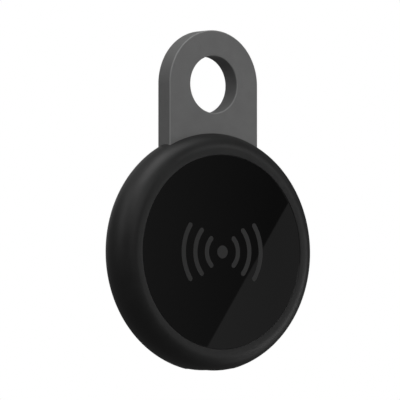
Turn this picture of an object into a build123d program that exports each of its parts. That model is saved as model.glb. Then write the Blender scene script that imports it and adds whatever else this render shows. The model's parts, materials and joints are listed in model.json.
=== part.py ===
from build123d import *
import os
from math import asin, cos, degrees, pi, radians, sin

# Round bluetooth tracker tag with a soft key-ring loop. Millimetres.
# Everything is modelled about the centre of the round body, with X to the right, +Y to the rear
# and +Z up to the loop, and is then moved so that the origin is the centre of the loop's hole.

# Further out than anything here, for a cut that goes right through
FAR = 30.0

# Round body
BODY_R = 19.45
HALF_THICK = 3.7
EDGE_RADIAL = 2.8
FLAT_R = BODY_R - EDGE_RADIAL
SEAM_Y = 2.75
CAVITY_R = 16.9
LEDGE_R = 13.6
LEDGE_FRONT = -2.05
LEDGE_REAR = -1.45
POCKET_R = 15.9
LIP_ROUND = 0.12
SNAP_DEPTH = 0.15
SNAP_HALF_HEIGHT = 0.2
PAD_R = 1.1
PAD_CIRCLE_R = 15.2
PAD_ANGLES = (0, 180, 218, 322)

# Front panel, which is the push button
PANEL_R = 15.75
PANEL_FRONT = -3.63
PANEL_REAR = -2.65
PANEL_CHAMFER = 0.08
PANEL_SEAL_R = 15.5
PANEL_SEAL_INNER_R = 13.9
NUB_R = 0.7
TRAVEL_GAP = 0.05

# Rear cover
COVER_INNER = 3.0
REBATE_R = 17.8
REBATE_Y = 2.35
SPIGOT_R = 16.75
SPIGOT_INNER_R = 16.25
SPIGOT_TIP = 1.95
BEAD_Y = 2.15
BEAD_HEIGHT = 0.2
SEAL_CLEARANCE = 0.05
SOUND_HOLE_R = 0.4
SOUND_RING_R = 1.7
MESH_R = 2.8
MESH_THICK = 0.15
STEP_R = 11.3
STEP_INNER_R = 10.0

# Loop
LOOP_HALF_WIDTH = 8.8
LOOP_THICK = 3.4
LOOP_Y = 0.36
LOOP_EDGE = 0.3
RING_HOLE_R = 4.65
RING_HOLE_EDGE = 0.2
RING_HOLE_Z = 27.25
BEND_Z = RING_HOLE_Z - 6.0
SEAT_GAP = 0.06
SEAT_LIP_DROP = 1.2
FOOT_LOW = 14.0
FLANGE_THICK_R = 1.0
FLANGE_HALF_WIDTH = 9.7
FLANGE_FRONT = -1.3
FLANGE_REAR = 1.7
FLANGE_LINK_HALF_WIDTH = 8.6
FLANGE_LINK = 0.1
FLANGE_CLEARANCE = 0.05
ANCHOR_HALF_WIDTH = 6.6
ANCHOR_THICK = 1.0
ANCHOR_LOW = 16.6
ANCHOR_TOP = 18.9
ANCHOR_HOLE_R = 0.6
ANCHOR_HOLE_XS = (-4, 0, 4)

# Circuit board, screws and locating pin
PCB_FRONT = -1.15
PCB_REAR = -0.55
PCB_R = 16.4
PCB_TOP = 12.4
PCB_BOTTOM = -14.9
SCREW_X = 6.2
SCREW_Z = 10.74
SCREW_R = 0.55
SCREW_HEAD_R = 0.95
SCREW_HEAD_HEIGHT = 0.45
SCREW_RECESS_R = 0.35
SCREW_RECESS_FLOOR = 0.2
SCREW_TIP = 1.7
SCREW_HOLE_END = 1.75
PIN_R = 0.6
BOARD_HOLE_R = 0.65
BOSS_R = 1.2

# Components on the board's front face: x, z, width, height and how far they stand off it
BLE_CHIP = (-5.2, 4.5, 4.0, 4.0, 0.5)
CRYSTAL = (-9.0, 4.5, 1.6, 2.0, 0.45)
SHIELD_CAN = (-6.6, 4.5, 7.8, 7.0, 0.9)
CAN_WALL = 0.15
ANTENNA = (0.0, 10.6, 5.2, 2.0, 0.9)
CHARGER_IC = (8.6, -7.0, 2.0, 2.0, 0.6)
POWER_INDUCTOR = (5.4, -7.2, 2.5, 2.0, 0.85)
PASSIVE_LONG = 1.0
PASSIVE_SHORT = 0.5
PASSIVE_HEIGHT = 0.35
PASSIVE_ARC_R = 11.6
PASSIVE_ARC_START = -18
PASSIVE_ARC_STEP = 9
PASSIVE_ROW_LEFT = -4
PASSIVE_ROW_STEP = 2
PASSIVE_ROW_Z = -4.6

# USB-C socket
USB_WIDTH = 8.94
USB_HEIGHT = 3.16
USB_WALL = 0.3
USB_MOUTH_Z = -18.4
USB_BACK_Z = -11.5
USB_SLOT_GAP = 0.1
USB_SLOT_SIDE_GAP = 0.18
USB_LIP_WIDTH = 8.9
USB_LIP_HEIGHT = 2.9
USB_LIP_GAP = 0.05
USB_RELIEF_HALF_WIDTH = 5.0
USB_RELIEF_TOP = -11.0
BOARD_GAP = 0.15
EAR_LENGTH = 1.0
EAR_THICK = 0.2
EAR_LOW = -13.9
EAR_TOP = -12.7
TONGUE_HALF_WIDTH = 3.34
TONGUE_HALF_THICK = 0.35
TONGUE_TIP_Z = -17.75
TONGUE_BASE_Z = -13.4
CONTACT_PITCH = 0.5
CONTACT_FIRST_X = -2.75
CONTACT_HALF_WIDTH = 0.12
CONTACT_HALF_THICK = 0.03
CONTACT_MIDDLE_Y = 0.38
CONTACT_TIP_Z = -17.7
LAND_Z = -15.6
LAND_LOW = -17.2
LAND_HALF_WIDTH = 6.0
LAND_REAR = 1.85
GASKET_THICK = 0.6
GASKET_SIDE = 0.8
GASKET_RIM = 0.2

# Push switch
SWITCH_SIDE = 3.2
SWITCH_FRONT = -1.95
SWITCH_SHEET = 0.15
SWITCH_WELL_R = 1.05
LEG_REACH = 0.4
LEG_HALF_WIDTH = 0.9
STEM_R = 0.75
STEM_FRONT = -2.15
STEM_REAR = -1.50
STEM_CLEARANCE = 0.08
STEM_FLANGE_R = 0.97
STEM_FLANGE_GAP = 0.05
DOME_R = 0.95
DOME_INNER_R = 0.85
DOME_SEAT = 0.08
DOME_SHEET = 0.06

# Battery and sounder
CELL_R = 10.0
CELL_FRONT = -0.45
CELL_REAR = 2.15
CELL_CAP_STEP = 1.1
CELL_CAP_HEIGHT = 0.4
CELL_PAD_R = 8.0
CELL_PAD_NOTCH = 1.6
TAB_HALF_WIDTH = 1.5
NEGATIVE_TAB_LEFT = 4.0
NEGATIVE_TAB_RIGHT = 12.0
POSITIVE_TAB_LEFT = -10.35
POSITIVE_TAB_RIGHT = -5.0
BRASS_R = 11.0
BRASS_FRONT = 2.5
BRASS_REAR = 2.65
CERAMIC_R = 7.5
CERAMIC_FRONT = 2.35
LEAD_X = 10.7
LEAD_WIDTH = 1.0
CERAMIC_LEAD_INNER = 6.0
CERAMIC_LEAD_ANGLE = 55
BRASS_LEAD_INNER = 9.9
BRASS_LEAD_ANGLE = 80
FOIL = 0.1


def disc(radius, front, rear, x=0.0, z=0.0):
    """Round plate square to Y."""
    return Pos(x, (front + rear) / 2, z) * Rot(90, 0, 0) * Cylinder(radius, rear - front)


def ring(outer, inner, front, rear):
    return disc(outer, front, rear) - disc(inner, front - 1, rear + 1)


def block(left, right, front, rear, low, high):
    centre = Pos((left + right) / 2, (front + rear) / 2, (low + high) / 2)
    return centre * Box(right - left, rear - front, high - low)


def chip(x, z, wide, tall, height):
    """Component on the board's front face."""
    return block(x - wide / 2, x + wide / 2, PCB_FRONT - height, PCB_FRONT, z - tall / 2, z + tall / 2)


def slot_bar(width, height, low, high):
    """Bar along Z with a rounded-end section, centred on the body's middle plane."""
    return Pos(0, 0, low) * extrude(SlotOverall(width, height), high - low)


def turned(outline):
    """Solid of revolution about Y from a closed outline in the XY plane."""
    return revolve(make_face(outline), Axis.Y)


def edge_angle(y):
    return degrees(asin(y / HALF_THICK))


# ---- Round body ----

def housing_shell():
    rim = EllipticalCenterArc((FLAT_R, 0), EDGE_RADIAL, HALF_THICK, 270, arc_size=90 + edge_angle(SEAM_Y))
    inside = Polyline(
        rim @ 1,
        (REBATE_R, SEAM_Y),
        (REBATE_R, REBATE_Y),
        (CAVITY_R, REBATE_Y),
        (CAVITY_R + SNAP_DEPTH, BEAD_Y),
        (CAVITY_R, BEAD_Y - SNAP_HALF_HEIGHT),
        (CAVITY_R, LEDGE_REAR),
        (LEDGE_R, LEDGE_REAR),
        (LEDGE_R, LEDGE_FRONT),
        (POCKET_R, LEDGE_FRONT),
        (POCKET_R, LIP_ROUND - HALF_THICK),
    )
    lip = RadiusArc(inside @ 1, (POCKET_R + LIP_ROUND, -HALF_THICK), LIP_ROUND)
    front = Line(lip @ 1, rim @ 0)
    return turned(rim + inside + lip + front)


def board_pads():
    """Four pads on the ledge's rear face, which the circuit board rests on."""
    pads = []
    for angle in PAD_ANGLES:
        x = PAD_CIRCLE_R * cos(radians(angle))
        z = PAD_CIRCLE_R * sin(radians(angle))
        pads.append(disc(PAD_R, LEDGE_REAR, PCB_FRONT, x, z))
    return pads


def usb_land():
    """Thick part of the rim behind the socket's mouth, with a seat for the gasket."""
    return block(-LAND_HALF_WIDTH, LAND_HALF_WIDTH, LEDGE_REAR, LAND_REAR, LAND_LOW, LAND_Z)


def usb_cut():
    """Mouth in the rim, the socket's slot behind the mouth's lip, and room for it behind the ledge."""
    mouth = slot_bar(USB_LIP_WIDTH, USB_LIP_HEIGHT, -FAR, USB_MOUTH_Z)
    wide = USB_WIDTH + 2 * USB_SLOT_SIDE_GAP
    slot = slot_bar(wide, USB_HEIGHT + 2 * USB_SLOT_GAP, USB_MOUTH_Z - USB_LIP_GAP, LAND_Z + 1)
    half = USB_RELIEF_HALF_WIDTH
    relief = block(-half, half, -USB_HEIGHT / 2 - 2 * USB_SLOT_GAP, 0, LAND_Z, USB_RELIEF_TOP)
    return mouth + slot + relief


def loop_cut():
    """Slot for the loop's foot through the top of the rim."""
    front = LOOP_Y - LOOP_THICK / 2
    rear = LOOP_Y + LOOP_THICK / 2
    slot = block(-LOOP_HALF_WIDTH, LOOP_HALF_WIDTH, front, rear, FOOT_LOW, FAR)
    return slot - disc(CAVITY_R - FLANGE_LINK, -FAR, FAR)


def housing():
    return housing_shell() + usb_land() + board_pads() - usb_cut() - loop_cut()


def cover_boss(x, z):
    return disc(BOSS_R, PCB_REAR, COVER_INNER, x, z)


def rear_cover():
    rim = EllipticalCenterArc(
        (FLAT_R, 0), EDGE_RADIAL, HALF_THICK, edge_angle(SEAM_Y), arc_size=90 - edge_angle(SEAM_Y)
    )
    inside = Polyline(
        rim @ 1,
        (0, HALF_THICK),
        (0, COVER_INNER),
        (SPIGOT_INNER_R, COVER_INNER),
        (SPIGOT_INNER_R, SPIGOT_TIP),
        (SPIGOT_R, SPIGOT_TIP),
        (SPIGOT_R + BEAD_HEIGHT, BEAD_Y),
        (SPIGOT_R, BEAD_Y + BEAD_HEIGHT),
        (SPIGOT_R, SEAM_Y),
        rim @ 0,
    )
    plate = turned(rim + inside)
    plate += ring(STEP_R, STEP_INNER_R, BRASS_REAR, COVER_INNER)
    for x, z in screw_places():
        plate += cover_boss(x, z) - disc(SCREW_R, -FAR, SCREW_HOLE_END, x, z)
    plate += cover_boss(SCREW_X, SCREW_Z)
    plate += disc(PIN_R, PCB_FRONT, PCB_REAR, SCREW_X, SCREW_Z)
    for x, z in sound_holes():
        plate -= disc(SOUND_HOLE_R, -FAR, FAR, x, z)
    return plate


def sound_holes():
    """One hole in the middle and six around it."""
    places = [(0.0, 0.0)]
    for step in range(6):
        angle = step * pi / 3
        places.append((SOUND_RING_R * cos(angle), SOUND_RING_R * sin(angle)))
    return places


def screw_places():
    return [(-SCREW_X, SCREW_Z), (-SCREW_X, -SCREW_Z), (SCREW_X, -SCREW_Z)]


def cover_seal():
    return ring(REBATE_R - SEAL_CLEARANCE, CAVITY_R + 2 * SEAL_CLEARANCE, REBATE_Y, SEAM_Y)


def sound_mesh():
    return disc(MESH_R, COVER_INNER - MESH_THICK, COVER_INNER)


# ---- Push button ----

def front_panel():
    plate = disc(PANEL_R, PANEL_FRONT, PANEL_REAR)
    return chamfer(plate.edges().group_by(Axis.Y)[0], PANEL_CHAMFER)


def panel_seal():
    return ring(PANEL_SEAL_R, PANEL_SEAL_INNER_R, PANEL_REAR, LEDGE_FRONT)


def button_nub():
    return disc(NUB_R, PANEL_REAR, STEM_FRONT - TRAVEL_GAP)


def switch_base():
    half = SWITCH_SIDE / 2
    body = block(-half, half, SWITCH_FRONT + SWITCH_SHEET, PCB_FRONT, -half, half)
    for x in (-half, half):
        left = x - LEG_REACH
        right = x + LEG_REACH
        body += block(left, right, PCB_FRONT - SWITCH_SHEET, PCB_FRONT, -LEG_HALF_WIDTH, LEG_HALF_WIDTH)
    return body - disc(SWITCH_WELL_R, -FAR, PCB_FRONT - DOME_SEAT)


def switch_cover():
    half = SWITCH_SIDE / 2
    plate = block(-half, half, SWITCH_FRONT, SWITCH_FRONT + SWITCH_SHEET, -half, half)
    return plate - disc(STEM_R + STEM_CLEARANCE, -FAR, FAR)


def switch_stem():
    """Plunger; it has a flange that the switch's metal cover holds in."""
    flange_front = SWITCH_FRONT + SWITCH_SHEET + STEM_FLANGE_GAP
    return disc(STEM_R, STEM_FRONT, STEM_REAR) + disc(STEM_FLANGE_R, flange_front, STEM_REAR)


def switch_dome():
    """Snap dome under the plunger."""
    rim = PCB_FRONT - DOME_SEAT
    crown = STEM_REAR
    outer = ThreePointArc((-DOME_R, rim), (0, crown), (DOME_R, rim))
    inner = ThreePointArc((DOME_INNER_R, rim), (0, crown + DOME_SHEET), (-DOME_INNER_R, rim))
    section = make_face(outer + Line(outer @ 1, inner @ 0) + inner + Line(inner @ 1, outer @ 0))
    half = section & Pos(1, rim, 0) * Rectangle(2, 2)
    return revolve(half, Axis.Y)


# ---- Circuit board ----

def main_pcb():
    board = disc(PCB_R, PCB_FRONT, PCB_REAR)
    board &= block(-FAR, FAR, -FAR, FAR, PCB_BOTTOM, PCB_TOP)
    half_notch = USB_WIDTH / 2 + BOARD_GAP
    board -= block(-half_notch, half_notch, -FAR, FAR, -FAR, USB_BACK_Z + BOARD_GAP)
    for x, z in screw_places() + [(SCREW_X, SCREW_Z)]:
        board -= disc(BOARD_HOLE_R, -FAR, FAR, x, z)
    return board


def shield_can():
    x, z, wide, tall, height = SHIELD_CAN
    hollow = chip(x, z, wide - 2 * CAN_WALL, tall - 2 * CAN_WALL, height - CAN_WALL)
    return chip(*SHIELD_CAN) - hollow


def passives():
    """Small resistors and capacitors: an arc of them on the right and a row below the switch."""
    parts = []
    for step in range(8):
        angle = radians(PASSIVE_ARC_START + PASSIVE_ARC_STEP * step)
        x = PASSIVE_ARC_R * cos(angle)
        z = PASSIVE_ARC_R * sin(angle)
        parts.append(chip(x, z, PASSIVE_LONG, PASSIVE_SHORT, PASSIVE_HEIGHT))
    for step in range(5):
        x = PASSIVE_ROW_LEFT + PASSIVE_ROW_STEP * step
        parts.append(chip(x, PASSIVE_ROW_Z, PASSIVE_SHORT, PASSIVE_LONG, PASSIVE_HEIGHT))
    return parts


def pcb_screws():
    screws = []
    for x, z in screw_places():
        head = disc(SCREW_HEAD_R, PCB_FRONT - SCREW_HEAD_HEIGHT, PCB_FRONT, x, z)
        recess = disc(SCREW_RECESS_R, -FAR, PCB_FRONT - SCREW_RECESS_FLOOR, x, z)
        screws.append(head - recess + disc(SCREW_R, PCB_FRONT, SCREW_TIP, x, z))
    return screws


# ---- USB-C socket ----

def usb_shell():
    sleeve = slot_bar(USB_WIDTH, USB_HEIGHT, USB_MOUTH_Z, USB_BACK_Z)
    bore = slot_bar(USB_WIDTH - 2 * USB_WALL, USB_HEIGHT - 2 * USB_WALL, USB_MOUTH_Z - 1, USB_BACK_Z + 1)
    half_span = USB_WIDTH / 2 + EAR_LENGTH
    ears = block(-half_span, half_span, PCB_FRONT - EAR_THICK, PCB_FRONT, EAR_LOW, EAR_TOP)
    return sleeve + ears - bore


def usb_tongue():
    base = slot_bar(USB_WIDTH - 2 * USB_WALL, USB_HEIGHT - 2 * USB_WALL, TONGUE_BASE_Z, USB_BACK_Z)
    wide = TONGUE_HALF_WIDTH
    thick = TONGUE_HALF_THICK
    return base + block(-wide, wide, -thick, thick, TONGUE_TIP_Z, TONGUE_BASE_Z)


def usb_contacts():
    """Twelve strips on each face of the tongue."""
    strips = []
    for middle in (-CONTACT_MIDDLE_Y, CONTACT_MIDDLE_Y):
        front = middle - CONTACT_HALF_THICK
        rear = middle + CONTACT_HALF_THICK
        for step in range(12):
            x = CONTACT_FIRST_X + CONTACT_PITCH * step
            left = x - CONTACT_HALF_WIDTH
            right = x + CONTACT_HALF_WIDTH
            strips.append(block(left, right, front, rear, CONTACT_TIP_Z, TONGUE_BASE_Z))
    return strips


def usb_gasket():
    wide = USB_WIDTH + 2 * GASKET_SIDE
    tall = USB_HEIGHT + 2 * GASKET_RIM
    outer = slot_bar(wide, tall, LAND_Z, LAND_Z + GASKET_THICK)
    return outer - slot_bar(USB_WIDTH, USB_HEIGHT, -FAR, 0)


# ---- Battery and sounder ----

def battery():
    """Coin cell: a can with a slightly smaller stepped cap at the front."""
    can = disc(CELL_R, CELL_FRONT + CELL_CAP_HEIGHT, CELL_REAR)
    return can + disc(CELL_R - CELL_CAP_STEP, CELL_FRONT, CELL_REAR)


def battery_pad():
    pad = disc(CELL_PAD_R, PCB_REAR, CELL_FRONT)
    return pad - block(0, FAR, -FAR, FAR, -CELL_PAD_NOTCH, CELL_PAD_NOTCH)


def battery_tab_negative():
    """Strip from the cell's front cap along the board."""
    left = NEGATIVE_TAB_LEFT
    right = NEGATIVE_TAB_RIGHT
    return block(left, right, PCB_REAR, CELL_FRONT, -TAB_HALF_WIDTH, TAB_HALF_WIDTH)


def battery_tab_positive():
    """Strip from the cell's rear face, round its edge and down to the board."""
    left = POSITIVE_TAB_LEFT
    half = TAB_HALF_WIDTH
    top = block(left, POSITIVE_TAB_RIGHT, CELL_REAR, CELL_REAR + FOIL, -half, half)
    return top + block(left, left + FOIL, PCB_REAR, CELL_REAR, -half, half)


def piezo_lead(height, inner, angle):
    """Foil strip: in along the sounder at the given height, and down to the board at its edge."""
    along = block(inner, LEAD_X, height - FOIL, height, -LEAD_WIDTH / 2, LEAD_WIDTH / 2)
    down = block(LEAD_X - FOIL, LEAD_X, PCB_REAR, height, -LEAD_WIDTH / 2, LEAD_WIDTH / 2)
    return Rot(0, angle, 0) * (along + down)


# ---- Loop ----

def loop_plate():
    """Flat strap with a round top, from the bend upwards, with the ring hole through it."""
    straight = RING_HOLE_Z - BEND_Z
    outline = Pos(0, RING_HOLE_Z) * Circle(LOOP_HALF_WIDTH)
    outline += Pos(0, BEND_Z + straight / 2) * Rectangle(2 * LOOP_HALF_WIDTH, straight)
    outline &= Pos(0, BEND_Z + FAR / 2) * Rectangle(2 * FAR, FAR)
    outline -= Pos(0, RING_HOLE_Z) * Circle(RING_HOLE_R)
    front_face = Plane.XZ.offset(LOOP_THICK / 2 - LOOP_Y)
    return extrude(front_face * outline, -LOOP_THICK)


def bend_bar(radius, half_width):
    """Round bar along X at the place where the neck bends."""
    return Pos(0, LOOP_Y, BEND_Z) * Rot(0, 90, 0) * Cylinder(radius, 2 * half_width)


def loop():
    plate = loop_plate()
    hole = plate.edges().filter_by(lambda edge: edge.is_closed)
    plate = chamfer(hole, RING_HOLE_EDGE)
    sides = plate.edges().filter_by(Plane.XZ).filter_by(lambda edge: edge.center().Z > BEND_Z + 1)
    plate = fillet(sides.filter_by(lambda edge: not edge.is_closed), LOOP_EDGE)
    lower_half = block(-FAR, FAR, -FAR, FAR, 0, BEND_Z)
    return plate + (bend_bar(LOOP_THICK / 2, LOOP_HALF_WIDTH) & lower_half)


def foot_flange():
    """Wider flange of the loop's foot, which bears on the rim's inside wall."""
    bearing = ring(CAVITY_R - FLANGE_CLEARANCE, CAVITY_R - FLANGE_THICK_R, FLANGE_FRONT, FLANGE_REAR)
    link = ring(CAVITY_R + FLANGE_LINK, CAVITY_R - FLANGE_LINK, FLANGE_FRONT, FLANGE_REAR)
    wide = FLANGE_HALF_WIDTH
    narrow = FLANGE_LINK_HALF_WIDTH
    flange = bearing & block(-wide, wide, -FAR, FAR, 0, FAR)
    return flange + (link & block(-narrow, narrow, -FAR, FAR, 0, FAR))


def loop_root():
    """Foot of the loop in the rim's slot, with its flange inside the rim."""
    front = LOOP_Y - LOOP_THICK / 2
    rear = LOOP_Y + LOOP_THICK / 2
    wide = LOOP_HALF_WIDTH
    neck = block(-wide, wide, front, rear, FOOT_LOW, BEND_Z - SEAT_LIP_DROP) - disc(CAVITY_R, -FAR, FAR)
    seat = bend_bar(LOOP_THICK / 2 + SEAT_GAP, wide + 1)
    return neck + foot_flange() - seat - loop_anchor()


def loop_anchor():
    """Stiff insert moulded into the loop's foot."""
    half = ANCHOR_HALF_WIDTH
    front = LOOP_Y - ANCHOR_THICK / 2
    plate = block(-half, half, front, front + ANCHOR_THICK, ANCHOR_LOW, ANCHOR_TOP)
    for x in ANCHOR_HOLE_XS:
        plate -= disc(ANCHOR_HOLE_R, -FAR, FAR, x, (ANCHOR_LOW + ANCHOR_TOP) / 2)
    return plate


def parts():
    return {
        "housing": housing(),
        "rear_cover": rear_cover(),
        "cover_seal": cover_seal(),
        "sound_mesh": sound_mesh(),
        "front_panel": front_panel(),
        "panel_seal": panel_seal(),
        "button_nub": button_nub(),
        "switch_base": switch_base(),
        "switch_cover": switch_cover(),
        "switch_stem": switch_stem(),
        "switch_dome": switch_dome(),
        "main_pcb": main_pcb(),
        "ble_chip": chip(*BLE_CHIP),
        "crystal": chip(*CRYSTAL),
        "shield_can": shield_can(),
        "antenna": chip(*ANTENNA),
        "charger_ic": chip(*CHARGER_IC),
        "power_inductor": chip(*POWER_INDUCTOR),
        "passives": Compound(passives()),
        "pcb_screws": Compound(pcb_screws()),
        "usb_shell": usb_shell(),
        "usb_tongue": usb_tongue(),
        "usb_contacts": Compound(usb_contacts()),
        "usb_gasket": usb_gasket(),
        "battery": battery(),
        "battery_pad": battery_pad(),
        "battery_tab_negative": battery_tab_negative(),
        "battery_tab_positive": battery_tab_positive(),
        "piezo_brass": disc(BRASS_R, BRASS_FRONT, BRASS_REAR),
        "piezo_ceramic": disc(CERAMIC_R, CERAMIC_FRONT, BRASS_FRONT),
        "piezo_lead_ceramic": piezo_lead(CERAMIC_FRONT, CERAMIC_LEAD_INNER, CERAMIC_LEAD_ANGLE),
        "piezo_lead_brass": piezo_lead(BRASS_FRONT, BRASS_LEAD_INNER, BRASS_LEAD_ANGLE),
        "loop": loop(),
        "loop_root": loop_root(),
        "loop_anchor": loop_anchor(),
    }


def main():
    os.makedirs("parts", exist_ok=True)
    to_ring_hole = Pos(0, -LOOP_Y, -RING_HOLE_Z)
    for name, shape in parts().items():
        export_step(to_ring_hole * shape, f"parts/{name}.step")
        print(name, len(shape.solids()), round(shape.volume, 2))


main()
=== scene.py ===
import bpy
import bmesh
import json
import math
from mathutils import Matrix, Vector


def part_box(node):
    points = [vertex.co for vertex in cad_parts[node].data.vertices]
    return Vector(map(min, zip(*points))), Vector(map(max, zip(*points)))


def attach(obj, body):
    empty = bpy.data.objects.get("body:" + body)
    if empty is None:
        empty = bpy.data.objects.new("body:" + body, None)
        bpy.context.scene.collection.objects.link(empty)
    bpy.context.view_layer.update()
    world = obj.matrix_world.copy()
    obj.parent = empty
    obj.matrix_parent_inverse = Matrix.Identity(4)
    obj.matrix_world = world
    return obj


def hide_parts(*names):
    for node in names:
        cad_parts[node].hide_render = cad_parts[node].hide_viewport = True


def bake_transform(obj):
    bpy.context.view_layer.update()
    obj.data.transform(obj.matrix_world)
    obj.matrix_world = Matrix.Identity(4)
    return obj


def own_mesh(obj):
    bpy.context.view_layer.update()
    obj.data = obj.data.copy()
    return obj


# A round bluetooth tracker tag with a soft key-ring loop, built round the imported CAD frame.
# Metres. X is to the right, -Y out of the glossy panel, +Z up to the loop. The origin is the centre
# of the loop's hole.

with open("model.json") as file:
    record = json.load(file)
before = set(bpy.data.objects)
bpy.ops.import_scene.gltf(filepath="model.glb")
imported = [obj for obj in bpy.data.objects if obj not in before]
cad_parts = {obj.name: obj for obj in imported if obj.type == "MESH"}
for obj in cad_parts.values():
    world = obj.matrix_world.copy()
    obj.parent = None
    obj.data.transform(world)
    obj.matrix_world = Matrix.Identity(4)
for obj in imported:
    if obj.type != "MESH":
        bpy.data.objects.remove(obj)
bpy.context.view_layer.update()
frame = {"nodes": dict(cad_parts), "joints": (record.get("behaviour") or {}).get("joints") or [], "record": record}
MM = 0.001


# ---- Sizes from the frame ----

def named(rows, name):
    """The row of that name in one of the frame's lists."""
    return next(row for row in rows if row["name"] == name)


housing_low, housing_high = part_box("housing")
cover_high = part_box("rear_cover")[1]
panel_low, panel_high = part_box("front_panel")
loop_low, loop_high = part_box("loop")
root_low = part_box("loop_root")[0]
shell_low, shell_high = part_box("usb_shell")

FRONT_Y = housing_low.y
REAR_Y = cover_high.y
MIDDLE_Y = (FRONT_Y + REAR_Y) / 2
BODY_Z = (panel_low.z + panel_high.z) / 2
BODY_R = (housing_high.x - housing_low.x) / 2
HALF_THICK = (REAR_Y - FRONT_Y) / 2
BODY_CENTRE = Vector((0, MIDDLE_Y, BODY_Z))

PANEL_R = (panel_high.x - panel_low.x) / 2
PANEL_CENTRE = Vector((0, panel_low.y, BODY_Z))

LOOP_HALF_WIDTH = (loop_high.x - loop_low.x) / 2
LOOP_HALF_THICK = (loop_high.y - loop_low.y) / 2
LOOP_Y = (loop_high.y + loop_low.y) / 2
RING_HOLE_R = named(frame["record"]["mounts"], "ring_hole")["dims"]["r_mm"] * MM
BEND_Z = named(frame["joints"], "loop_flex")["pos_m"][2]


# ---- Sizes that more than one piece uses ----

# The body is flat out to FLAT_R, and its edge beyond that is half of an ellipse
EDGE_RADIAL = 2.8 * MM
FLAT_R = BODY_R - EDGE_RADIAL

# Rim and cover meet this far behind the middle plane, in a groove cut this far into both
SEAM_Y = 2.75 * MM
SEAM_GROOVE = 0.07 * MM

# Inside of the rim, where the cover's spigot goes in
CAVITY_R = 16.9 * MM

# Bevel on the loop's edges, and round of the corners of its slot
LOOP_EDGE = 0.3 * MM

# How far a cutter goes on past the surface that it cuts
CUT_PAST = 1 * MM


# ---- Outlines ----

def edge_radius(y):
    """Radius of the body's outside at y from its middle plane."""
    return FLAT_R + EDGE_RADIAL * math.sqrt(max(0.0, 1 - (y / HALF_THICK) ** 2))


def edge_arc(start_y, end_y, steps):
    """Outline points along the body's rounded edge."""
    start = math.asin(start_y / HALF_THICK)
    end = math.asin(end_y / HALF_THICK)
    turns = [start + (end - start) * i / steps for i in range(steps + 1)]
    return [(FLAT_R + EDGE_RADIAL * math.cos(t), HALF_THICK * math.sin(t)) for t in turns]


def arc(centre, radius, start, end, steps):
    """Outline points round an arc about centre, from start to end degrees."""
    turns = [math.radians(start + (end - start) * i / steps) for i in range(steps + 1)]
    return [(centre[0] + radius * math.cos(t), centre[1] + radius * math.sin(t)) for t in turns]


def stadium(half_width, half_height):
    """Points round a slot shape, with straight top and bottom and half-round ends."""
    steps = 16
    points = []
    for side in (1, -1):
        for i in range(steps + 1):
            turn = math.pi * (i / steps - 0.5)
            x = side * (half_width - half_height + half_height * math.cos(turn))
            points.append((x, side * half_height * math.sin(turn)))
    return points


def rounded_box(half_x, half_y, radius):
    """Points round a rectangle with round corners."""
    points = []
    for quarter, (side_x, side_y) in enumerate(((1, 1), (-1, 1), (-1, -1), (1, -1))):
        centre = (side_x * (half_x - radius), side_y * (half_y - radius))
        points += arc(centre, radius, 90 * quarter, 90 * quarter + 90, 4)
    return points


# ---- Meshes ----

def mesh_piece(name, bm, sharp_degrees=None):
    """An object from a bmesh, shaded smooth, with edges over sharp_degrees kept sharp."""
    bmesh.ops.recalc_face_normals(bm, faces=bm.faces)
    mesh = bpy.data.meshes.new(name)
    bm.to_mesh(mesh)
    bm.free()
    mesh.shade_smooth()
    if sharp_degrees is not None:
        mesh.set_sharp_from_angle(angle=math.radians(sharp_degrees))
    piece = bpy.data.objects.new(name, mesh)
    bpy.context.scene.collection.objects.link(piece)
    return piece


def skin(bm, rings, closed=True):
    """Quads between neighbouring rings of vertices, which all have the same number."""
    for ring, other in zip(rings, rings[1:]):
        count = len(ring)
        for i in range(count if closed else count - 1):
            j = (i + 1) % count
            bm.faces.new((ring[i], ring[j], other[j], other[i]))


def add_tube(bm, outlines):
    """Adds a closed solid through rings of points, with a flat cap at each end."""
    rings = [[bm.verts.new(point) for point in outline] for outline in outlines]
    skin(bm, rings)
    bm.faces.new(rings[0])
    bm.faces.new(rings[-1])


def tube(name, outlines):
    """Piece that is one closed solid through rings of points."""
    bm = bmesh.new()
    add_tube(bm, outlines)
    return mesh_piece(name, bm)


def lathe(name, outline, sharp_degrees):
    """Closed solid of revolution about the body's axis from a closed outline of (radius, y)."""
    steps = 320
    turns = [2 * math.pi * i / steps for i in range(steps)]
    bm = bmesh.new()
    rings = []
    for radius, y in outline:
        if radius == 0:
            rings.append([bm.verts.new((0, MIDDLE_Y + y, BODY_Z))] * steps)
        else:
            rings.append([
                bm.verts.new((radius * math.cos(t), MIDDLE_Y + y, BODY_Z + radius * math.sin(t)))
                for t in turns
            ])
    for ring, other in zip(rings, rings[1:] + rings[:1]):
        for i in range(steps):
            j = (i + 1) % steps
            corners = list(dict.fromkeys((ring[i], ring[j], other[j], other[i])))
            if len(corners) > 2:
                bm.faces.new(corners)
    return mesh_piece(name, bm, sharp_degrees)


def apply_modifiers(piece):
    """Bakes a piece's modifiers into its mesh."""
    graph = bpy.context.evaluated_depsgraph_get()
    mesh = bpy.data.meshes.new_from_object(piece.evaluated_get(graph))
    piece.modifiers.clear()
    piece.data = mesh


def carve(piece, cutter, sharp_degrees):
    """Cuts the cutter's shape out of the piece, and removes the cutter."""
    cut = piece.modifiers.new("cut", "BOOLEAN")
    cut.object = cutter
    cut.operation = "DIFFERENCE"
    cut.solver = "EXACT"
    apply_modifiers(piece)
    bpy.data.objects.remove(cutter)
    piece.data.shade_smooth()
    piece.data.set_sharp_from_angle(angle=math.radians(sharp_degrees))


def paint(piece, material):
    """Gives the whole piece one material."""
    piece.data.materials.clear()
    piece.data.materials.append(material)


# ---- Materials ----

def grey(value):
    """Neutral colour of that linear value."""
    return (value, value, value)


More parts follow.
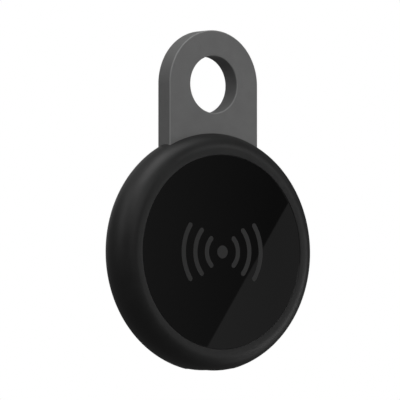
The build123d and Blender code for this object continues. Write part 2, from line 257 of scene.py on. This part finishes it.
def grain_textures(nodes, links, grain):
    """Outputs of a fine texture, and of that with clouds added, which goes from about 0.5 to 1.1."""
    cloud_size = 25 * grain
    cloud_share = 0.6
    place = nodes.new("ShaderNodeTexCoord")
    cloud = nodes.new("ShaderNodeTexNoise")
    cloud.inputs["Scale"].default_value = 1.0 / cloud_size
    cloud.inputs["Detail"].default_value = 3
    links.new(place.outputs["Object"], cloud.inputs["Vector"])
    fine = nodes.new("ShaderNodeTexNoise")
    fine.inputs["Scale"].default_value = 1.0 / grain
    fine.inputs["Detail"].default_value = 4
    fine.inputs["Roughness"].default_value = 0.6
    links.new(place.outputs["Object"], fine.inputs["Vector"])
    both = nodes.new("ShaderNodeMath")
    both.operation = "MULTIPLY_ADD"
    links.new(cloud.outputs["Fac"], both.inputs[0])
    both.inputs[1].default_value = cloud_share
    links.new(fine.outputs["Fac"], both.inputs[2])
    return fine.outputs["Fac"], both.outputs["Value"]


def finish_material(name, dark, light, grain, rough, bump, metallic=0.0, specular=0.5, sheen=0.0):
    """Principled finish with colour and roughness that vary over the surface, and a fine bump.

    grain is the size in metres of the fine texture; rough is a (lowest, highest) pair;
    bump is the height of the texture in metres.
    """
    material = bpy.data.materials.new(name)
    material.use_nodes = True
    nodes = material.node_tree.nodes
    links = material.node_tree.links
    shader = nodes["Principled BSDF"]
    shader.inputs["Metallic"].default_value = metallic
    shader.inputs["Specular IOR Level"].default_value = specular
    shader.inputs["Sheen Weight"].default_value = sheen
    fine, clouded = grain_textures(nodes, links, grain)

    tint = nodes.new("ShaderNodeValToRGB")
    tint.color_ramp.elements[0].position = 0.45
    tint.color_ramp.elements[0].color = (*dark, 1)
    tint.color_ramp.elements[1].color = (*light, 1)
    links.new(clouded, tint.inputs["Fac"])
    links.new(tint.outputs["Color"], shader.inputs["Base Color"])

    spread = nodes.new("ShaderNodeMapRange")
    spread.inputs["From Min"].default_value = 0.5
    spread.inputs["From Max"].default_value = 1.1
    spread.inputs["To Min"].default_value = rough[0]
    spread.inputs["To Max"].default_value = rough[1]
    links.new(clouded, spread.inputs["Value"])
    links.new(spread.outputs["Result"], shader.inputs["Roughness"])

    relief = nodes.new("ShaderNodeBump")
    relief.inputs["Distance"].default_value = bump
    links.new(fine, relief.inputs["Height"])
    links.new(relief.outputs["Normal"], shader.inputs["Normal"])
    return material


def tint_where(material, attribute, colour, share, blend_type):
    """Blends colour into a finish by share, where a piece's attribute of that name is 1."""
    nodes = material.node_tree.nodes
    links = material.node_tree.links
    base_colour = nodes["Principled BSDF"].inputs["Base Color"]
    place = nodes.new("ShaderNodeAttribute")
    place.attribute_name = attribute
    amount = nodes.new("ShaderNodeMath")
    amount.operation = "MULTIPLY"
    links.new(place.outputs["Fac"], amount.inputs[0])
    amount.inputs[1].default_value = share
    mix = nodes.new("ShaderNodeMix")
    mix.data_type = "RGBA"
    mix.blend_type = blend_type
    links.new(amount.outputs["Value"], mix.inputs["Factor"])
    links.new(base_colour.links[0].from_socket, mix.inputs["A"])
    mix.inputs["B"].default_value = (*colour, 1)
    links.new(mix.outputs["Result"], base_colour)


def store_rounds(piece):
    """Gives each point its mask of painted shade, from 0 on the flat faces to 1 on the walls between them,
    and its mask of painted highlight, which is 1 half way round a rounded edge and 0 on faces and walls.
    """
    wall = piece.data.attributes.new("painted_wall_shade", "FLOAT", "POINT")
    edge = piece.data.attributes.new("painted_edge_highlight", "FLOAT", "POINT")
    facings = [vertex.normal.y ** 2 for vertex in piece.data.vertices]
    for i, facing in enumerate(facings):
        wall.data[i].value = 1 - facing
        edge.data[i].value = 4 * facing * (1 - facing)


MATTE_RIM = finish_material("matte_rim", grey(0.0125), grey(0.022), 0.12 * MM, (0.38, 0.50), 0.008 * MM)
GLOSS_PANEL = finish_material(
    "gloss_panel", grey(0.0026), grey(0.0034), 0.6 * MM, (0.011, 0.018), 0.00001 * MM
)
PRINTED_MARK = finish_material(
    "printed_mark", grey(0.028), grey(0.034), 0.08 * MM, (0.35, 0.5), 0.0004 * MM
)

# The loop's walls get painted shade, darker than its faces, and its rounded edges a painted highlight
SILICONE = finish_material(
    "loop_silicone", grey(0.24), grey(0.31), 0.1 * MM, (0.50, 0.64), 0.008 * MM, specular=0.4, sheen=0.05
)
# Painted shade: the colour of the walls is multiplied down, so they stay darker than the faces
tint_where(SILICONE, "painted_wall_shade", grey(0.67), 1.0, "MULTIPLY")
# Painted highlight: the colour of the rounded edges is blended towards a lighter grey
tint_where(SILICONE, "painted_edge_highlight", grey(0.5), 0.7, "MIX")

SEAL_RUBBER = finish_material("seal_rubber", grey(0.02), grey(0.035), 0.1 * MM, (0.6, 0.8), 0.002 * MM)
STIFF_INSERT = finish_material("stiff_insert", grey(0.04), grey(0.06), 0.12 * MM, (0.45, 0.6), 0.002 * MM)
SOLDER_MASK = finish_material(
    "solder_mask", (0.006, 0.045, 0.02), (0.012, 0.075, 0.032), 0.3 * MM, (0.25, 0.35), 0.001 * MM
)
CHIP_BLACK = finish_material("chip_epoxy", grey(0.012), grey(0.02), 0.05 * MM, (0.5, 0.65), 0.001 * MM)
STEEL = finish_material(
    "brushed_steel", grey(0.42), grey(0.58), 0.12 * MM, (0.22, 0.36), 0.0006 * MM, metallic=1.0
)
CELL_STEEL = finish_material(
    "cell_steel", (0.48, 0.47, 0.45), (0.6, 0.59, 0.57), 0.25 * MM, (0.2, 0.32), 0.0008 * MM, metallic=1.0
)
CONTACT_GOLD = finish_material(
    "contact_gold", (0.72, 0.48, 0.16), (0.86, 0.6, 0.24), 0.06 * MM, (0.18, 0.3), 0.0004 * MM, metallic=1.0
)
SOUNDER_BRASS = finish_material(
    "sounder_brass", (0.6, 0.4, 0.14), (0.72, 0.5, 0.2), 0.2 * MM, (0.25, 0.4), 0.0008 * MM, metallic=1.0
)
CERAMIC = finish_material(
    "silvered_ceramic", (0.55, 0.54, 0.5), (0.68, 0.67, 0.62), 0.1 * MM, (0.4, 0.55), 0.001 * MM
)
MEMBRANE = finish_material("woven_membrane", grey(0.012), grey(0.03), 0.05 * MM, (0.7, 0.85), 0.004 * MM)
FOAM = finish_material("adhesive_foam", grey(0.5), grey(0.62), 0.08 * MM, (0.8, 0.9), 0.006 * MM)

# The finish of each material slot in the record
SLOT_FINISHES = {
    "rim": MATTE_RIM,
    "panel": GLOSS_PANEL,
    "silicone_grey": SILICONE,
    "seal_rubber": SEAL_RUBBER,
    "stiff_insert": STIFF_INSERT,
    "board": SOLDER_MASK,
    "chip_black": CHIP_BLACK,
    "steel": STEEL,
    "cell_steel": CELL_STEEL,
    "contact_gold": CONTACT_GOLD,
    "sounder_brass": SOUNDER_BRASS,
    "ceramic_white": CERAMIC,
    "mesh_black": MEMBRANE,
    "foam_white": FOAM,
}


# ---- Rim, with the loop's slot and the socket's mouth ----

# The pocket fits the panel closely, so that no dark line shows round it, and has a small round edge
PANEL_GAP = 0.012 * MM
PANEL_LIP_ROUND = 0.07 * MM

# The ledge behind the panel: its inner radius, its front from the middle plane, and its thickness
LEDGE_R = 13.6 * MM
LEDGE_Y = -2.05 * MM
LEDGE_THICK = 0.6 * MM

# Gap round the loop's foot in its slot
SLOT_GAP = 0.015 * MM

# The socket's shell at its mouth. Its box in the frame is wider, with its ears.
SHELL_HALF_WIDTH = 4.47 * MM
SHELL_HALF_HEIGHT = (shell_high.y - shell_low.y) / 2

# The pocket round the shell: its gap, and how far it goes below and above the shell's lower end
POCKET_GAP = 0.1 * MM
POCKET_BELOW = 0.05 * MM
POCKET_ABOVE = 3.4 * MM

# The opening below the pocket, how far up it goes from the rim's surface, and the round of its edge
MOUTH_HALF_WIDTH = 4.45 * MM
MOUTH_HALF_HEIGHT = 1.45 * MM
MOUTH_DEPTH = 1.6 * MM
MOUTH_ROUND = 0.06 * MM


def rim_outline():
    """Half section of the rim as (radius, y), from its front flat round the outside and back inside."""
    pocket_r = PANEL_R + PANEL_GAP
    ledge_rear = LEDGE_Y + LEDGE_THICK
    lip_centre = (pocket_r + PANEL_LIP_ROUND, PANEL_LIP_ROUND - HALF_THICK)
    outline = edge_arc(-HALF_THICK, SEAM_Y - SEAM_GROOVE, 40)
    outline += [(edge_radius(SEAM_Y) - SEAM_GROOVE, SEAM_Y), (CAVITY_R, SEAM_Y)]
    outline += [(CAVITY_R, ledge_rear), (LEDGE_R, ledge_rear), (LEDGE_R, LEDGE_Y), (pocket_r, LEDGE_Y)]
    outline += arc(lip_centre, PANEL_LIP_ROUND, 180, 270, 5)
    return outline


def slot_cutter():
    """Cutter for the slot that the loop's foot fills in the top of the rim."""
    outline = rounded_box(LOOP_HALF_WIDTH + SLOT_GAP, LOOP_HALF_THICK + SLOT_GAP, LOOP_EDGE)
    levels = (root_low.z, BODY_Z + BODY_R + CUT_PAST)
    return tube("slot_cutter", [[(x, LOOP_Y + y, z) for x, y in outline] for z in levels])


def socket_pocket_cutter():
    """Cutter for the straight pocket behind the mouth, which the socket's shell sits in."""
    outline = stadium(SHELL_HALF_WIDTH + POCKET_GAP, SHELL_HALF_HEIGHT + POCKET_GAP)
    levels = (shell_low.z - POCKET_BELOW, shell_low.z + POCKET_ABOVE)
    return tube("socket_pocket_cutter", [[(x, MIDDLE_Y + y, z) for x, y in outline] for z in levels])


def socket_mouth_cutter():
    """Cutter for the socket's mouth in the bottom of the rim, with a small even round at its edge."""
    turns = [math.radians(degrees) for degrees in (22.5, 45, 67.5)]
    rows = [(MOUTH_DEPTH, 0.0), (MOUTH_ROUND, 0.0)]
    rows += [(MOUTH_ROUND * (1 - math.sin(t)), MOUTH_ROUND * (1 - math.cos(t))) for t in turns]
    rows += [(0.0, MOUTH_ROUND), (-CUT_PAST, MOUTH_ROUND)]
    outlines = []
    for depth, grow in rows:
        outline = []
        for x, y in stadium(MOUTH_HALF_WIDTH + grow, MOUTH_HALF_HEIGHT + grow):
            drop = math.sqrt(edge_radius(y) ** 2 - x * x)
            outline.append((x, MIDDLE_Y + y, BODY_Z - drop + depth))
        outlines.append(outline)
    return tube("socket_mouth_cutter", outlines)


def make_rim_housing():
    """Matte rim round the panel, which holds everything."""
    rim = lathe("rim_housing", rim_outline(), sharp_degrees=30)
    for cutter in (slot_cutter(), socket_pocket_cutter(), socket_mouth_cutter()):
        carve(rim, cutter, sharp_degrees=30)
    paint(rim, MATTE_RIM)
    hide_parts("housing")
    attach(rim, "puck")


# ---- Rear cover, with its sound holes ----

COVER_THICK = 0.7 * MM

# The spigot that goes into the rim: its radii, and how far its tip is behind the middle plane
SPIGOT_R = CAVITY_R - 0.2 * MM
SPIGOT_INNER_R = CAVITY_R - 0.7 * MM
SPIGOT_TIP = 1.95 * MM

# One sound hole in the middle and the rest in a ring round it, with rounded mouths
SOUND_HOLES = 7
SOUND_RING_R = 1.7 * MM
SOUND_HOLE_R = 0.4 * MM
SOUND_HOLE_MOUTH = 0.1 * MM


def cover_outline():
    """Half section of the cover as (radius, y), from the middle of its outside and back inside.

    Two more rings on the flat keep its shading even.
    """
    inner_y = HALF_THICK - COVER_THICK
    outline = [(0.0, HALF_THICK), (0.4 * FLAT_R, HALF_THICK), (0.95 * FLAT_R, HALF_THICK)]
    outline += edge_arc(HALF_THICK, SEAM_Y + SEAM_GROOVE, 16)
    outline += [(edge_radius(SEAM_Y) - SEAM_GROOVE, SEAM_Y), (SPIGOT_R, SEAM_Y)]
    outline += [(SPIGOT_R, SPIGOT_TIP), (SPIGOT_INNER_R, SPIGOT_TIP)]
    outline += [(SPIGOT_INNER_R, inner_y), (0.0, inner_y)]
    return outline


def sound_hole_cutter(hole):
    """Cutter for the middle sound hole (0) or one of those round it."""
    ring_radius = 0.0 if hole == 0 else SOUND_RING_R
    angle = hole * 2 * math.pi / (SOUND_HOLES - 1)
    x = ring_radius * math.cos(angle)
    z = BODY_Z + ring_radius * math.sin(angle)
    mouth = SOUND_HOLE_MOUTH
    rows = [(0.0, -COVER_THICK - CUT_PAST), (0.0, -mouth), (0.3 * mouth, -0.3 * mouth)]
    rows += [(mouth, 0.0), (mouth, CUT_PAST)]
    turns = [2 * math.pi * i / 24 for i in range(24)]
    outlines = []
    for grow, y in rows:
        radius = SOUND_HOLE_R + grow
        outlines.append([(x + radius * math.cos(t), REAR_Y + y, z + radius * math.sin(t)) for t in turns])
    return tube("sound_hole_cutter", outlines)


def make_back_cover():
    """Matte rear cover, with a round edge that carries on from the rim's."""
    cover = lathe("back_cover", cover_outline(), sharp_degrees=30)
    for hole in range(SOUND_HOLES):
        carve(cover, sound_hole_cutter(hole), sharp_degrees=15)
    paint(cover, MATTE_RIM)
    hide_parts("rear_cover")
    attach(cover, "puck")


# ---- Front panel and its printed mark ----

PANEL_EDGE_ROUND = 0.04 * MM

# How far the printed mark stands out of the panel and goes into it, and its strokes and dot
MARK_LIFT = 0.012 * MM
MARK_SINK = 0.01 * MM
MARK_HALF_STROKE = 0.42 * MM
MARK_DOT_R = 1.05 * MM

# Middle radius of each pair of arcs, and half of the angle that each arc spans, in degrees
MARK_ARCS = ((3.1 * MM, 44), (5.4 * MM, 40), (7.7 * MM, 34))


def make_gloss_panel():
    """Flat glossy panel, which is the push button. Two more rings on it keep its shading even."""
    front = panel_low.y - MIDDLE_Y
    back = panel_high.y - MIDDLE_Y
    edge = PANEL_EDGE_ROUND
    outline = [(0.0, front), (0.5 * PANEL_R, front), (PANEL_R - 3 * edge, front)]
    outline += arc((PANEL_R - edge, front + edge), edge, 270, 360, 5)
    outline += [(PANEL_R, back), (0.0, back)]
    panel = lathe("gloss_panel", outline, sharp_degrees=60)
    paint(panel, GLOSS_PANEL)
    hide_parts("front_panel")
    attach(panel, "button")


def band_outline(radius, half_stroke, middle, half_angle):
    """Outline of an arc band with round ends, about the panel's centre. Angles are in degrees."""
    start = middle - half_angle
    end = middle + half_angle
    first = (radius * math.cos(math.radians(start)), radius * math.sin(math.radians(start)))
    last = (radius * math.cos(math.radians(end)), radius * math.sin(math.radians(end)))
    points = arc((0, 0), radius + half_stroke, start, end, 28)
    points += arc(last, half_stroke, end, end + 180, 8)[1:-1]
    points += arc((0, 0), radius - half_stroke, end, start, 28)
    points += arc(first, half_stroke, start + 180, start + 360, 8)[1:-1]
    return points


def make_signal_mark():
    """Generic signal sign, which stands a hair proud of the panel: a dot with arcs on both sides."""
    shapes = [arc((0, 0), MARK_DOT_R, 0, 360, 40)[:-1]]
    for radius, half_angle in MARK_ARCS:
        shapes.append(band_outline(radius, MARK_HALF_STROKE, 0, half_angle))
        shapes.append(band_outline(radius, MARK_HALF_STROKE, 180, half_angle))
    levels = (panel_low.y + MARK_SINK, panel_low.y - MARK_LIFT)
    bm = bmesh.new()
    for shape in shapes:
        add_tube(bm, [[(x, y, BODY_Z + z) for x, z in shape] for y in levels])
    mark = mesh_piece("signal_mark", bm, sharp_degrees=30)
    paint(mark, PRINTED_MARK)
    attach(mark, "button")


# ---- Loop ----

# The strap's ring part ends just below the bend, and the rest goes down to its foot, inside the slot
RING_PART_LOW = BEND_Z - 0.4 * MM
STRAP_FOOT = root_low.z + 3.2 * MM

# How many quads wide the strap is below its ring part
STRAP_COLUMNS = 28


def ring_part_border():
    """Outline of the loop's ring part as (x, z), anticlockwise from its bottom left corner."""
    half_width = LOOP_HALF_WIDTH
    columns = STRAP_COLUMNS
    rows = 8
    border = [(-half_width + 2 * half_width * i / columns, RING_PART_LOW) for i in range(columns + 1)]
    border += [(half_width, RING_PART_LOW * (1 - i / rows)) for i in range(1, rows)]
    border += arc((0, 0), half_width, 0, 180, 72)
    border += [(-half_width, RING_PART_LOW * i / rows) for i in range(1, rows)]
    return border


def strap_face():
    """Front face of the strap: rays out from the hole to the ring part's border, then rows to the foot."""
    ring_steps = 8
    rows_down = 14
    front_y = LOOP_Y - LOOP_HALF_THICK
    bm = bmesh.new()
    rays = []
    for x, z in ring_part_border():
        first = RING_HOLE_R / math.hypot(x, z)
        shares = [first + (1 - first) * k / ring_steps for k in range(ring_steps + 1)]
        rays.append([bm.verts.new((x * share, front_y, z * share)) for share in shares])
    skin(bm, rays + rays[:1], closed=False)
    rows = [[ray[-1] for ray in rays[:STRAP_COLUMNS + 1]]]
    for k in range(1, rows_down + 1):
        z = RING_PART_LOW + (STRAP_FOOT - RING_PART_LOW) * k / rows_down
        rows.append([bm.verts.new((vertex.co.x, front_y, z)) for vertex in rows[0]])
    skin(bm, rows, closed=False)
    return mesh_piece("silicone_loop", bm)


def thicken_strap(strap):
    """Gives the strap's front face its thickness, to the rear, and rounds the edges."""
    thicken = strap.modifiers.new("thickness", "SOLIDIFY")
    thicken.thickness = 2 * LOOP_HALF_THICK
    thicken.offset = -1 if strap.data.polygons[0].normal.y < 0 else 1
    rounding = strap.modifiers.new("edges", "BEVEL")
    rounding.width = LOOP_EDGE
    rounding.segments = 4
    rounding.limit_method = "ANGLE"
    rounding.angle_limit = math.radians(50)
    rounding.harden_normals = True
    apply_modifiers(strap)


def make_silicone_loop():
    """One strap of silicone with a round hole, from inside the rim's slot to its round top."""
    strap = strap_face()
    thicken_strap(strap)
    store_rounds(strap)
    paint(strap, SILICONE)
    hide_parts("loop", "loop_root")
    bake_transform(strap)


# ---- CAD nodes that stay: the socket, and everything inside ----

def paint_cad_nodes():
    """Gives each CAD node the finish of its slot."""
    for part in frame["record"]["subparts"]:
        paint(frame["nodes"][part["node"]], SLOT_FINISHES[part["material_slot"]])


def squash_soft_nodes():
    """The rubber ring behind the panel and the switch's dome each get a mesh of their own."""
    for node, joint in (("panel_seal", "button_press"), ("switch_dome", "switch_travel")):
        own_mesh(frame["nodes"][node])


# ---- Camera ----

CAMERA_AZIMUTH = -35.8
CAMERA_ELEVATION = -1.53
CAMERA_DISTANCE = 0.612
CAMERA_LENS = 339

# Where the camera aims: this far to the left of the body's centre in the picture, and this far up
AIM_LEFT = 1.51 * MM
AIM_UP = 8.48 * MM


def direction(azimuth, elevation):
    """Unit vector towards a place round the object. Azimuth 0 is in front, 90 at its right; degrees."""
    a, e = math.radians(azimuth), math.radians(elevation)
    return Vector((math.sin(a) * math.cos(e), -math.cos(a) * math.cos(e), math.sin(e)))


def stand(thing, centre, right, up, back):
    """Places a camera, a lamp or a card by its centre and its own three axes."""
    turn = Matrix((right, up, back)).transposed().to_4x4()
    thing.matrix_world = Matrix.Translation(centre) @ turn


def make_camera():
    """Long lens from the front left, a little below the body's middle. Returns where it stands."""
    back = direction(CAMERA_AZIMUTH, CAMERA_ELEVATION)
    right = Vector((0, 0, 1)).cross(back).normalized()
    up = back.cross(right)
    data = bpy.data.cameras.new("camera")
    data.lens = CAMERA_LENS
    data.clip_start = 0.05
    data.clip_end = 20
    camera = bpy.data.objects.new("camera", data)
    bpy.context.scene.collection.objects.link(camera)
    place = BODY_CENTRE - right * AIM_LEFT + up * AIM_UP + back * CAMERA_DISTANCE
    stand(camera, place, right, up, back)
    bpy.context.scene.camera = camera
    return place


# ---- Floor, world and softboxes ----

# How far the floor lies below the body's centre, and how bright its own light makes it
FLOOR_DROP = 0.7
FLOOR_GLOW = 0.9

# Strength of the even light from all round
AMBIENT = 0.1

# How far each softbox stands from the body's centre
LIGHT_DISTANCE = 0.3

# Name, azimuth and elevation in degrees, side in metres, radiance
SOFTBOXES = (
    ("high_left", -80, 66, 0.14, 2.0),
    ("back_left", -110, 40, 0.14, 0.75),
    ("far_back_left", -145, 50, 0.16, 0.25),
    ("front_left", -55, 40, 0.14, 1.0),
    ("left_side", -95, 20, 0.12, 0.8),
    ("front_fill", -20, 25, 0.16, 0.8),
    ("front_right_high", 40, 26, 0.12, 1.35),
    ("right_side", 57, -12, 0.12, 2.0),
    ("right_low", 72, -34, 0.14, 0.6),
    ("overhead", 0, 88, 0.20, 1.35),
    ("rear", 172, 20, 0.26, 0.25),
)


def make_floor():
    """Pale paper far below the hanging tag. It lights nothing, so that the dark rim stays dark."""
    bm = bmesh.new()
    bmesh.ops.create_grid(bm, x_segments=8, y_segments=8, size=4.0)
    floor = mesh_piece("floor", bm)
    floor.location.z = BODY_Z - FLOOR_DROP
    paper = finish_material("floor_paper", grey(0.74), grey(0.8), 8 * MM, (0.6, 0.7), 0.02 * MM)
    shader = paper.node_tree.nodes["Principled BSDF"]
    shader.inputs["Emission Color"].default_value = (1, 1, 1, 1)
    shader.inputs["Emission Strength"].default_value = FLOOR_GLOW
    paint(floor, paper)
    floor.visible_diffuse = False
    floor.visible_glossy = False


def make_world():
    """White behind the object, and a dim even light from all round it."""
    world = bpy.data.worlds.new("studio")
    world.use_nodes = True
    nodes = world.node_tree.nodes
    links = world.node_tree.links
    backdrop = nodes["Background"]
    backdrop.inputs["Color"].default_value = (1, 1, 1, 1)
    ambient = nodes.new("ShaderNodeBackground")
    ambient.inputs["Color"].default_value = (1, 1, 1, 1)
    ambient.inputs["Strength"].default_value = AMBIENT
    path = nodes.new("ShaderNodeLightPath")
    choose = nodes.new("ShaderNodeMixShader")
    links.new(path.outputs["Is Camera Ray"], choose.inputs["Fac"])
    links.new(ambient.outputs["Background"], choose.inputs[1])
    links.new(backdrop.outputs["Background"], choose.inputs[2])
    links.new(choose.outputs["Shader"], nodes["World Output"].inputs["Surface"])
    bpy.context.scene.world = world


def area_light(name, width, height, power):
    """Lamp with a flat face of that size in metres, and power in watts."""
    data = bpy.data.lights.new(name, "AREA")
    data.shape = "RECTANGLE"
    data.size = width
    data.size_y = height
    data.energy = power
    lamp = bpy.data.objects.new(name, data)
    bpy.context.scene.collection.objects.link(lamp)
    return lamp


def soft_light(name, azimuth, elevation, side, radiance):
    """Square softbox that faces the round body from LIGHT_DISTANCE away."""
    lamp = area_light(name, side, side, radiance * math.pi * side * side)
    away = direction(azimuth, elevation)
    lamp.location = BODY_CENTRE + away * LIGHT_DISTANCE
    lamp.rotation_mode = "QUATERNION"
    lamp.rotation_quaternion = away.to_track_quat("Z", "Y")


# ---- Cards that show in the glossy panel ----

# Card with a straight edge: how far it stands from the panel, its lean in degrees, how far right of
# the panel's centre its edge shows as a share of the panel's radius, its size and its power in watts
STRAIGHT_CARD_DISTANCE = 0.25
STRAIGHT_CARD_LEAN = -34.9
STRAIGHT_CARD_START = 0.4
STRAIGHT_CARD_WIDTH = 0.06
STRAIGHT_CARD_LENGTH = 0.16
STRAIGHT_CARD_POWER = 0.0061

# Fading card: how far it stands from the panel, its side, and where across it the fade starts and
# ends, with its radiance there
GRADIENT_CARD_DISTANCE = 0.27
GRADIENT_CARD_SIDE = 0.1
GRADIENT_START = -0.022
GRADIENT_END = 0.012
GRADIENT_LEFT = 0.165
GRADIENT_RIGHT = 0.063


def mirror_line(camera_place):
    """The camera's mirror image in the panel, and the way from there to the panel's centre."""
    mirrored = Vector((camera_place.x, 2 * panel_low.y - camera_place.y, camera_place.z))
    return mirrored, (PANEL_CENTRE - mirrored).normalized()


def make_straight_card(camera_place):
    """Dim lit card on the right, whose straight edge shows in the panel as a slanted line."""
    mirrored, toward = mirror_line(camera_place)
    lean = math.radians(STRAIGHT_CARD_LEAN)
    into = Vector((math.cos(lean), 0, math.sin(lean)))
    along = Vector((-math.sin(lean), 0, math.cos(lean)))
    line_middle = PANEL_CENTRE + into * (STRAIGHT_CARD_START * PANEL_R)
    reach = (PANEL_CENTRE - mirrored).length + STRAIGHT_CARD_DISTANCE
    ends = []
    for on_panel in (line_middle - along * PANEL_R, line_middle + along * PANEL_R):
        ray = (on_panel - mirrored).normalized()
        ends.append(mirrored + ray * (reach / ray.dot(toward)))
    edge = (ends[1] - ends[0]).normalized()
    across = toward.cross(edge)
    if across.dot(into) < 0:
        across.negate()
    centre = (ends[0] + ends[1]) / 2 + across * (STRAIGHT_CARD_WIDTH / 2)
    card = area_light("straight_card", STRAIGHT_CARD_WIDTH, STRAIGHT_CARD_LENGTH, STRAIGHT_CARD_POWER)
    stand(card, centre, across, edge, across.cross(edge))


def fading_glow():
    """Light that fades across a card, from GRADIENT_LEFT to GRADIENT_RIGHT."""
    material = bpy.data.materials.new("gradient_card")
    material.use_nodes = True
    nodes = material.node_tree.nodes
    links = material.node_tree.links
    nodes.remove(nodes["Principled BSDF"])
    place = nodes.new("ShaderNodeTexCoord")
    split = nodes.new("ShaderNodeSeparateXYZ")
    fade = nodes.new("ShaderNodeMapRange")
    fade.inputs["From Min"].default_value = GRADIENT_START
    fade.inputs["From Max"].default_value = GRADIENT_END
    fade.inputs["To Min"].default_value = GRADIENT_LEFT
    fade.inputs["To Max"].default_value = GRADIENT_RIGHT
    glow = nodes.new("ShaderNodeEmission")
    links.new(place.outputs["Object"], split.inputs["Vector"])
    links.new(split.outputs["X"], fade.inputs["Value"])
    links.new(fade.outputs["Result"], glow.inputs["Strength"])
    links.new(glow.outputs["Emission"], nodes["Material Output"].inputs["Surface"])
    return material


def make_gradient_card(camera_place):
    """Grey card that fades from left to right, which the whole panel reflects as a soft gradient."""
    toward = mirror_line(camera_place)[1]
    across = toward.cross(Vector((0, 0, 1))).normalized()
    if across.x < 0:
        across.negate()
    up = toward.cross(across)
    bm = bmesh.new()
    bmesh.ops.create_grid(bm, x_segments=1, y_segments=1, size=GRADIENT_CARD_SIDE / 2)
    card = mesh_piece("gradient_card", bm)
    stand(card, PANEL_CENTRE + toward * GRADIENT_CARD_DISTANCE, across, up, across.cross(up))
    paint(card, fading_glow())
    card.visible_camera = False
    card.visible_diffuse = False
    card.visible_shadow = False


# ---- Everything, in order ----

paint_cad_nodes()
squash_soft_nodes()
make_rim_housing()
make_back_cover()
make_gloss_panel()
make_signal_mark()
make_silicone_loop()
make_floor()
make_world()
camera_place = make_camera()
for softbox in SOFTBOXES:
    soft_light(*softbox)
make_straight_card(camera_place)
make_gradient_card(camera_place)
bpy.context.scene.view_settings.view_transform = "Standard"
